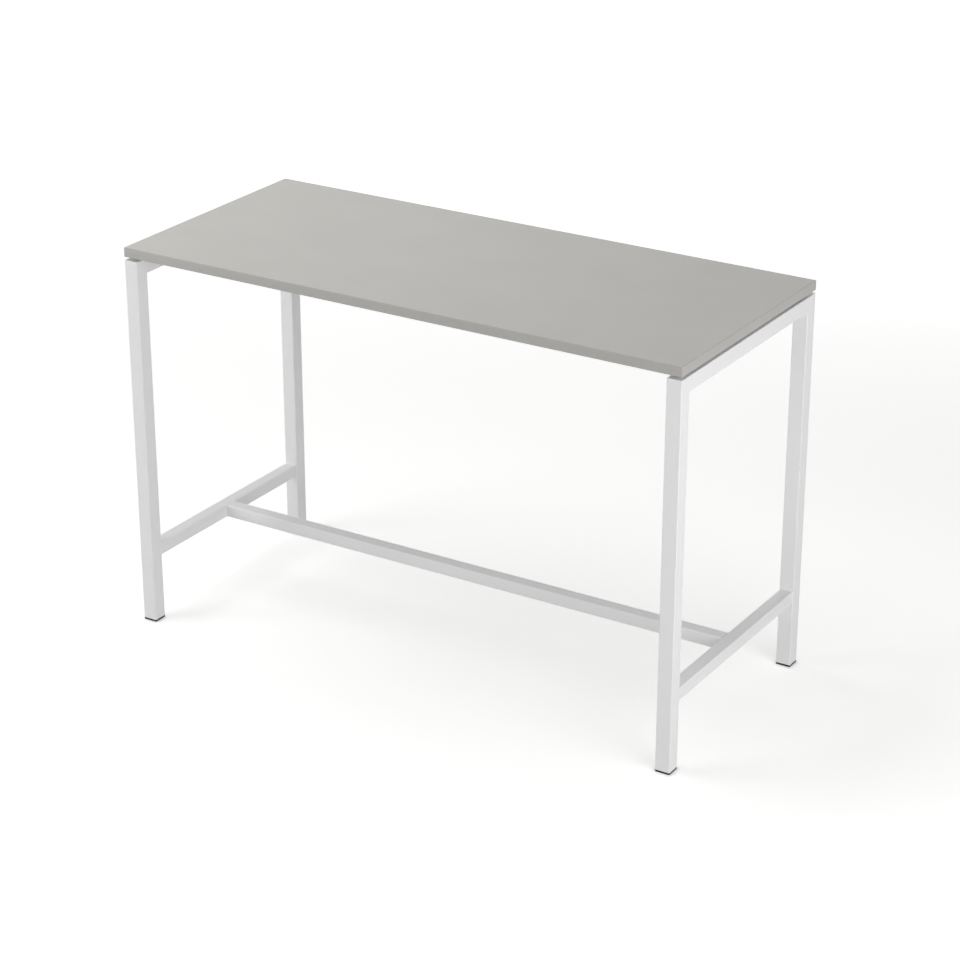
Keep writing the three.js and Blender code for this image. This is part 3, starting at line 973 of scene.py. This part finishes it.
def add_beam(row, sizes):
    """A beam with welds round its ends, which stay below its top face, and holes for its top screw."""
    node = f"top_beam_{row}"
    size, ends, middle = tube_along(node, ALONG_X)
    holes = (Hole(HIGH_SECOND, 0.0, SCREW_HOLE), Hole(LOW_SECOND, 0.0, ACCESS_HOLE))
    fill = weld_fill(size, sizes)
    tube = Tube(size, sizes.tube_wall, sizes.beam_corner, ends, holes=holes, fill=fill)
    rings, stations = tube_rings(tube, weld_stations(ends, sizes.weld_leg))
    rings = with_welds(rings, sizes.weld_leg, sizes.weld_ripple, no_fall)
    rings[..., 1] = np.clip(rings[..., 1], -size[1] / 2 - sizes.weld_leg, size[1] / 2)
    skin = placed(tube_skin(tube, rings, stations), ALONG_X, middle)
    add_piece(f"beam_tube_{row}", skin, node)


def add_beam_end(corner, pitch):
    """A beam's end plate, its edges eased, and the two bolts through it into the end rail."""
    sign = SIGNS[corner.split("_")[1]]
    axes = ALONG_X if sign > 0 else ALONG_MINUS_X
    node = f"beam_plate_{corner}"
    low, high = box_of(node)
    bolts = [f"beam_bolt_{corner}_{side}" for side in ("a", "b")]
    plate = plate_skin(high - low, abs(middle_of(bolts[0])[1] - middle_of(bolts[1])[1]))
    ease_edges(add_piece(f"end_plate_{corner}", placed(plate, ALONG_X, (low + high) / 2), node))
    face = low[0] if sign > 0 else high[0]
    for bolt in bolts:
        seat = np.array([face, *middle_of(bolt)[1:]])
        low_bolt, high_bolt = box_of(bolt)
        tip = high_bolt[0] - face if sign > 0 else face - low_bolt[0]
        head = face - low_bolt[0] if sign > 0 else high_bolt[0] - face
        skin = placed(flange_bolt(tip, head, pitch), axes, seat)
        add_piece(bolt.replace("beam", "flange"), skin, bolt)


def ease_edges(piece):
    """Rounds a piece's sharp edges by a fraction of a millimetre, as paint does on a cut edge."""
    bevel = piece.modifiers.new("eased_edges", "BEVEL")
    bevel.width = 0.35 * MM
    bevel.segments = 2
    bevel.limit_method = "ANGLE"
    bevel.angle_limit = SHARP_ANGLE


def plate_skin(size, bolt_spacing):
    """A plate along its third axis with two bolt holes, made of two halves that share a middle line.

    Each half is carried round its hole: from its outline at one face, to the outline at the other face,
    in to the hole's rim, and back down the hole. A rim point lies on the line from the hole's middle to
    its outline point.
    """
    corner, side_fill, line_points = 4.0 * MM, (9, 3), 9
    thickness, half = size[0], size[1:] / 2
    loop = outline(-half, half, corner, fill=side_fill)
    edge = loop[loop[:, 0] > HOLD]
    edge = np.roll(edge, -int(np.arctan2(edge[:, 1], edge[:, 0]).argmin()), axis=0)
    line = np.column_stack([np.zeros(line_points), np.linspace(half[1], -half[1], line_points)])
    patch = np.concatenate([edge, line])
    middle = np.array([bolt_spacing / 2, 0.0])
    rim = middle + BOLT_HOLE * unit(patch - middle)
    front, back = -thickness / 2, thickness / 2
    path = ((patch, front), (patch, back), (rim, back), (rim, front))
    rings = np.stack([at_height(loop, height) for loop, height in path])
    quads = loft(rings, closed=True).quads
    on_line = np.arange(len(edge), len(patch) - 1)
    quads = np.delete(quads, on_line, axis=0)
    first = rings.reshape(-1, 3)
    return welded(np.vstack([first, first * (-1, -1, 1)]), np.vstack([quads, quads + len(first)]))


def welded(points, quads):
    """A skin whose points that lie on each other are made one."""
    _, first, same = np.unique(points.round(8), axis=0, return_index=True, return_inverse=True)
    return Skin(points[first], same.reshape(-1)[quads], NO_TRIANGLES)


def flange_bolt(reach, head, pitch):
    """A hexagon flange bolt, its flange's underside at height 0 and its head below."""
    shank, chamfer, flats, ease, crown = 3.0 * MM, 0.7 * MM, 10.0 * MM, 0.7 * MM, 3.5 * MM
    flange, flange_height, neck, neck_height = 6.5 * MM, 1.2 * MM, 5.9 * MM, 1.3 * MM
    slope, slope_height, rim_height, rim_ease = 0.25 * MM, 0.75 * MM, 0.5 * MM, 0.12 * MM
    rows_in_flange = 3
    angles = round_angles()
    rows = [
        (crown, -head),
        *hex_rows(angles, flats, -head, -flange_height, ease)[:-rows_in_flange],
        (neck, -neck_height),
        (flange - slope, -slope_height),
        (flange, -rim_height),
        (flange, -rim_ease),
        (flange - rim_ease, 0.0),
        (shank, 0.0),
        *thread_rows(angles, THREAD_RUN_OUT, reach - chamfer, shank, pitch, pitch * THREAD_DEPTH),
        (shank - chamfer, reach),
    ]
    return loft(stacked(angles, rows))


# Spacers and top screws


class TABLE_OT_top_fixings(bpy.types.Operator):
    """Make the spacers that keep the shadow gap and the wood screws through them"""

    bl_idname = "table.top_fixings"
    bl_label = "Top fixings"

    def execute(self, context):
        sizes = context.scene.table_sizes
        for name in FIXINGS:
            low, high = box_of(f"spacer_{name}")
            foot = np.append(((low + high) / 2)[:2], low[2])
            ring = placed(spacer_skin((high[0] - low[0]) / 2, high[2] - low[2]), ALONG_Z, foot)
            add_piece(f"spacer_ring_{name}", ring, f"spacer_{name}")
            low, high = box_of(f"top_screw_{name}")
            seat = foot - (0, 0, sizes.tube_wall)
            screw = wood_screw(high[2] - seat[2], seat[2] - low[2], sizes.wood_pitch)
            add_piece(f"wood_screw_{name}", placed(screw, ALONG_Z, seat), f"top_screw_{name}")
        return {"FINISHED"}


def spacer_skin(radius, height):
    """A spacer: a ring with eased rims, and a shallow groove round its waist from the mould."""
    ease, groove_depth = 0.5 * MM, 0.25 * MM
    groove_half, brink_half = 0.05 * height, 0.1 * height
    waist = height / 2
    rows = [
        (SCREW_HOLE + ease, 0),
        (radius - ease, 0),
        (radius, ease),
        (radius, waist - brink_half),
        (radius - groove_depth, waist - groove_half),
        (radius - groove_depth, waist + groove_half),
        (radius, waist + brink_half),
        (radius, height - ease),
        (radius - ease, height),
        (SCREW_HOLE + ease, height),
        (SCREW_HOLE, height - ease),
        (SCREW_HOLE, ease),
    ]
    return loft(stacked(round_angles(), rows), closed=True)


def wood_screw(reach, head, pitch):
    """A pan-head wood screw, its head's underside at height 0: a cross recess, a thread and a point."""
    radius, flat, shank, plain, depth = 5.0 * MM, 3.4 * MM, 2.5 * MM, 10.5 * MM, 0.8 * MM
    arm, half_width, recess, recess_ease = 2.7 * MM, 0.62 * MM, 2.0 * MM, 0.1 * MM
    point, tip, tip_radius, recess_point = 4.0 * MM, 0.3 * MM, 0.25 * MM, 0.3 * MM
    arm_taper, width_taper = 0.35, 0.6
    angles = round_angles()
    mouth = cross(angles, arm, half_width)
    rows = [
        (cross(angles, arm * arm_taper, half_width * width_taper), recess - head),
        (mouth, recess_ease - head),
        (mouth + recess_ease, -head),
        *rounded_rim(radius, flat, head),
        (shank, 0.0),
        *thread_rows(angles, plain, reach - point, shank, pitch, depth),
        (tip_radius, reach - tip),
    ]
    ends = np.array([[0, 0, recess - head + recess_point], [0, 0, reach]])
    return loft(stacked(angles, rows), poles=ends)


# Levelling feet


class TABLE_OT_levelling_feet(bpy.types.Operator):
    """Make the foot caps, the pads and the threaded studs, and finish the nuts inside"""

    bl_idname = "table.levelling_feet"
    bl_label = "Levelling feet"

    def execute(self, context):
        sizes = context.scene.table_sizes
        for corner in CORNERS:
            foot = middle_of(f"leg_{corner}") * (1, 1, 0)
            low, high = box_of(f"foot_cap_{corner}")
            leg_bottom = box_of(f"leg_{corner}")[0][2]
            cap = cap_skin((high[0] - low[0]) / 2, low[2], leg_bottom, high[2], sizes)
            add_piece(f"cap_moulding_{corner}", placed(cap, ALONG_Z, foot), f"foot_cap_{corner}")
            low, high = box_of(f"foot_pad_{corner}")
            pad = pad_skin((high[0] - low[0]) / 2, high[2])
            add_piece(f"pad_moulding_{corner}", placed(pad, ALONG_Z, foot), f"foot_pad_{corner}")
            low, high = box_of(f"foot_stud_{corner}")
            stud = stud_skin(low[2], high[2], sizes.foot_pitch)
            add_piece(f"threaded_stud_{corner}", placed(stud, ALONG_Z, foot), f"foot_stud_{corner}")
            keep_node(f"foot_nut_{corner}")
        return {"FINISHED"}


def cap_skin(half, bottom, leg_bottom, top, sizes):
    """A foot cap: square rings up its flange and plug, round ones down its pockets, closed on itself."""
    ease, pocket, plug_corner, side_fill = 0.4 * MM, 14.2 * MM, 1.0 * MM, (4, 4)
    brink = 0.3 * ease
    corner = sizes.tube_corner
    plug = half - sizes.tube_wall - FOOT_CLEARANCE

    def square(side, rounding, height):
        """A square ring with rounded corners at a height."""
        return at_height(outline((-side, -side), (side, side), rounding, fill=side_fill), height)

    spokes = square(half, corner, 0.0)
    angles = np.arctan2(spokes[:, 1], spokes[:, 0])
    nut = hexagon(angles % (2 * np.pi), STUD_FLATS + 2 * FOOT_CLEARANCE)
    collar = STUD_FLATS / math.sqrt(3) + FOOT_CLEARANCE
    thread = STUD_RADIUS + FOOT_CLEARANCE
    outside = [
        square(half - ease, corner - ease, bottom),
        square(half - brink, corner - brink, bottom + brink),
        square(half, corner, bottom + ease),
        square(half, corner, leg_bottom - ease / 2),
        square(half - ease / 2, corner - ease / 2, leg_bottom),
        square(plug, plug_corner, leg_bottom),
        square(plug, plug_corner, top - 2 * ease),
        square(plug - ease, plug_corner, top),
    ]
    inside = [
        (nut, top),
        (nut, NUT_BOTTOM),
        (thread, NUT_BOTTOM),
        (thread, COLLAR_CEILING),
        (collar, COLLAR_CEILING),
        (collar, PAD_TOP),
        (pocket, PAD_TOP),
        (pocket, bottom + ease),
        (pocket + ease, bottom),
    ]
    return loft(np.concatenate([np.stack(outside), stacked(angles, inside)]), closed=True)


def pad_skin(radius, height):
    """A pad turned about its axis: grip rings underneath, a chamfer, and a socket that keeps the stud."""
    chamfer, chamfer_in, chamfer_up, ease = 1.0 * MM, 0.3 * MM, 0.4 * MM, 0.3 * MM
    lip, lip_bottom, socket, floor = 4.3 * MM, 4.5 * MM, 5.8 * MM, 2.0 * MM
    dimple, groove, grooves = 3.0 * MM, 0.5 * MM, (5.5 * MM, 8.5 * MM)
    rows = [(dimple, groove), (dimple + groove, 0.0)]
    for start in grooves:
        rows += [(start, 0.0), (start + groove, groove)]
        rows += [(start + 2 * groove, groove), (start + 3 * groove, 0.0)]
    rows += [
        (radius - chamfer, 0.0),
        (radius - chamfer_in, chamfer_up),
        (radius, chamfer),
        (radius, height - ease),
        (radius - ease, height),
        (lip + ease, height),
        (lip, height - ease),
        (lip, lip_bottom),
        (socket, lip_bottom),
        (socket, floor),
    ]
    return loft(stacked(round_angles(), rows))


def stud_skin(bottom, top, pitch):
    """A levelling stud: a base that swivels in the pad, a hexagon collar and a threaded shank."""
    base, base_height, ease = 5.5 * MM, 1.9 * MM, 0.25 * MM
    chamfer, collar_ease, run_out = 1.0 * MM, 0.8 * MM, 0.3 * MM
    collar_bottom, collar_top = PAD_TOP + FOOT_CLEARANCE, COLLAR_CEILING - FOOT_CLEARANCE
    start, end = collar_top + run_out, top - chamfer
    angles = round_angles()
    rows = [
        (base - ease, bottom),
        (base, bottom + ease),
        (base, bottom + base_height - ease),
        (base - ease, bottom + base_height),
        (STUD_RADIUS, bottom + base_height),
        (STUD_RADIUS, collar_bottom),
        *hex_rows(angles, STUD_FLATS, collar_bottom, collar_top, collar_ease),
        (STUD_RADIUS, collar_top),
        *thread_rows(angles, start, end, STUD_RADIUS, pitch, pitch * THREAD_DEPTH),
        (STUD_RADIUS - chamfer, top),
    ]
    return loft(stacked(angles, rows))


# Studio


class BoxLight(NamedTuple):
    """A soft box: its place, the point that it faces, and its width and height."""

    place: tuple
    target: tuple
    size: tuple


# Named for the property that holds the power
BOX_LIGHTS = {
    "overhead": BoxLight((-1.5, -0.1, 3.6), (-0.3, 0.0, 1.0), (2.8, 2.6)),
    "right": BoxLight((4.2, -2.4, 1.6), (0.3, 0.0, 0.6), (4.4, 3.0)),
    "left": BoxLight((-3.4, -3.0, 1.6), (-0.4, 0.0, 0.6), (2.4, 2.4)),
    "back": BoxLight((-1.5, 4.6, 1.4), (0.0, 0.0, 0.6), (3.6, 2.2)),
    "near": BoxLight((2.9, -0.9, 1.4), (0.8, -0.2, 0.7), (2.0, 2.4)),
}


class TABLE_OT_studio(bpy.types.Operator):
    """Make the white floor, the soft boxes, the sky and the camera"""

    bl_idname = "table.studio"
    bl_label = "Studio"

    def execute(self, context):
        studio = context.scene.table_studio
        context.scene.view_settings.view_transform = "Standard"
        add_floor(studio)
        add_sky(context.scene, studio.sky)
        for name, light in BOX_LIGHTS.items():
            add_box_light(f"{name}_box", getattr(studio, name), light)
        add_camera(context.scene)
        return {"FINISHED"}


def seen_by_camera(tree):
    """A value that is 1 where the camera looks, straight or by way of a mirror or glass."""
    path = add_node(tree, "ShaderNodeLightPath").outputs
    bent = {0: path["Is Glossy Ray"], 1: path["Is Transmission Ray"]}
    either = add_node(tree, "ShaderNodeMath", bent, operation="MAXIMUM").outputs[0]
    seen = {0: path["Is Camera Ray"], 1: either}
    return add_node(tree, "ShaderNodeMath", seen, operation="MAXIMUM").outputs[0]


def paper_material(floor_colour, floor_lift):
    """Matt white paper, which the camera sees a little brighter than it is lit.

    The added light grows to plain white far off and dies away in the corners under the feet, where ambient
    occlusion paints a contact shadow into it. From below, the camera sees through the paper.
    """
    bright_radius, white_radius, contact = 1.2, 7.0, 15 * MM
    material = bpy.data.materials.new("matt_white_paper")
    tree = empty_tree(material)
    place = add_node(tree, "ShaderNodeTexCoord").outputs["Object"]
    away = add_node(tree, "ShaderNodeVectorMath", {0: place}, operation="LENGTH").outputs["Value"]
    spread = {"Value": away, "From Min": bright_radius, "From Max": white_radius, "To Min": floor_lift}
    level = add_node(tree, "ShaderNodeMapRange", spread, interpolation_type="SMOOTHSTEP").outputs[0]
    # Ambient occlusion dims the added light beside the feet: a painted contact shadow
    near = add_node(tree, "ShaderNodeAmbientOcclusion", {"Distance": contact}, samples=1).outputs["AO"]
    lift_with_painted_shadow = add_node(tree, "ShaderNodeMath", {0: level, 1: near}, operation="MULTIPLY").outputs[0]
    shown = {0: seen_by_camera(tree), 1: lift_with_painted_shadow}
    strength = add_node(tree, "ShaderNodeMath", shown, operation="MULTIPLY").outputs[0]
    paper = add_node(tree, "ShaderNodeBsdfDiffuse", {"Color": (*floor_colour, 1.0)}).outputs[0]
    glow = add_node(tree, "ShaderNodeEmission", {"Strength": strength}).outputs[0]
    lit = add_node(tree, "ShaderNodeAddShader", {0: paper, 1: glow}).outputs[0]
    underside = add_node(tree, "ShaderNodeNewGeometry").outputs["Backfacing"]
    camera_ray = add_node(tree, "ShaderNodeLightPath").outputs["Is Camera Ray"]
    below = {0: underside, 1: camera_ray}
    through = add_node(tree, "ShaderNodeMath", below, operation="MULTIPLY").outputs[0]
    clear = add_node(tree, "ShaderNodeBsdfTransparent").outputs[0]
    shader = add_node(tree, "ShaderNodeMixShader", {0: through, 1: lit, 2: clear}).outputs[0]
    add_node(tree, "ShaderNodeOutputMaterial", {"Surface": shader})
    return material


def add_floor(studio):
    """A wide disc: rings of points at shrinking radii round the table, closed by a fan in the middle.

    It lies under the lowest pad, however far the feet are screwed out.
    """
    widest, narrowest, ring_count = 60.0, 0.5, 12
    radii = np.geomspace(widest, narrowest, ring_count)
    skin = loft(stacked(round_angles(), [(radius, 0.0) for radius in radii]))
    middle_fan = skin.triangles[ROUND_SIDES:]
    faces = skin.quads.tolist() + middle_fan.tolist()
    paper = paper_material(studio.floor, studio.floor_lift)
    floor = add_object("studio_floor", skin.points, faces, paper)
    for corner in CORNERS:
        under = floor.constraints.new("FLOOR")
        under.target = frame["bodies"][f"pad_{corner}"]
        under.floor_location = "FLOOR_NEGATIVE_Z"


def add_sky(scene, strength):
    """Even light from all round, which the camera and mirrors see as plain white."""
    white = (1.0, 1.0, 1.0, 1.0)
    world = bpy.data.worlds.new("studio_sky")
    tree = empty_tree(world)
    light = add_node(tree, "ShaderNodeBackground", {"Color": white, "Strength": strength}).outputs[0]
    backdrop = add_node(tree, "ShaderNodeBackground", {"Color": white, "Strength": 1.0}).outputs[0]
    shown = {0: seen_by_camera(tree), 1: light, 2: backdrop}
    both = add_node(tree, "ShaderNodeMixShader", shown).outputs[0]
    add_node(tree, "ShaderNodeOutputWorld", {"Surface": both})
    scene.world = world


def aim(eye, target):
    """Turns that point an object's -Z axis from one place to another, its X axis level."""
    way = np.array(target) - np.array(eye)
    tilt = math.atan2(math.hypot(way[0], way[1]), -way[2])
    return (tilt, 0.0, math.atan2(-way[0], way[1]))


def add_box_light(name, watts, light):
    """A soft box: a rectangle of light, which the camera doesn't see."""
    lamp = bpy.data.lights.new(name, "AREA")
    lamp.shape = "RECTANGLE"
    lamp.size, lamp.size_y = light.size
    lamp.energy = watts
    box = bpy.data.objects.new(name, lamp)
    box.location = light.place
    box.rotation_euler = aim(light.place, light.target)
    box.visible_camera = False
    bpy.context.scene.collection.objects.link(box)


def add_camera(scene):
    """The camera, fitted to the photograph's edges with no shift, so that every other view is centred."""
    eye, yaw, pitch = (3.368, -5.338, 3.207), math.radians(31.89), math.radians(23.51)
    lens = bpy.data.cameras.new("camera")
    lens.lens = 100.0
    lens.sensor_width = 36.0
    lens.clip_end = 200.0
    camera = bpy.data.objects.new("camera", lens)
    camera.location = eye
    camera.rotation_euler = (math.pi / 2 - pitch, 0.0, yaw)
    scene.collection.objects.link(camera)
    scene.camera = camera


# Sidebar and registration

OPERATORS = (
    TABLE_OT_top_board,
    TABLE_OT_edge_bands,
    TABLE_OT_end_arches,
    TABLE_OT_cross_rails,
    TABLE_OT_footrest,
    TABLE_OT_top_beams,
    TABLE_OT_top_fixings,
    TABLE_OT_levelling_feet,
    TABLE_OT_studio,
)
GROUPS = {"table_sizes": TableSizes, "table_finishes": TableFinishes, "table_studio": TableStudio}


class TABLE_PT_pieces(bpy.types.Panel):
    """Lists the table's sizes, finishes and lights, and the operators that make its pieces"""

    bl_idname = "TABLE_PT_pieces"
    bl_label = "Standing meeting table"
    bl_space_type = "VIEW_3D"
    bl_region_type = "UI"
    bl_category = "Table"

    def draw(self, context):
        for group, kind in GROUPS.items():
            column = self.layout.column(align=True)
            for name in kind.__annotations__:
                column.prop(getattr(context.scene, group), name)
        column = self.layout.column(align=True)
        for operator in OPERATORS:
            column.operator(operator.bl_idname)


CLASSES = (*GROUPS.values(), *OPERATORS, TABLE_PT_pieces)


def register():
    """Registers the classes and hangs the property groups on the scene."""
    for kind in CLASSES:
        bpy.utils.register_class(kind)
    for name, kind in GROUPS.items():
        setattr(bpy.types.Scene, name, PointerProperty(type=kind))


def unregister():
    """Takes the property groups off the scene and unregisters the classes."""
    for name in GROUPS:
        delattr(bpy.types.Scene, name)
    for kind in reversed(CLASSES):
        bpy.utils.unregister_class(kind)


def main():
    register()
    bpy.ops.table.top_board()
    bpy.ops.table.edge_bands()
    bpy.ops.table.end_arches()
    bpy.ops.table.cross_rails()
    bpy.ops.table.footrest()
    bpy.ops.table.top_beams()
    bpy.ops.table.top_fixings()
    bpy.ops.table.levelling_feet()
    bpy.ops.table.studio()


if __name__ == "__main__":
    main()
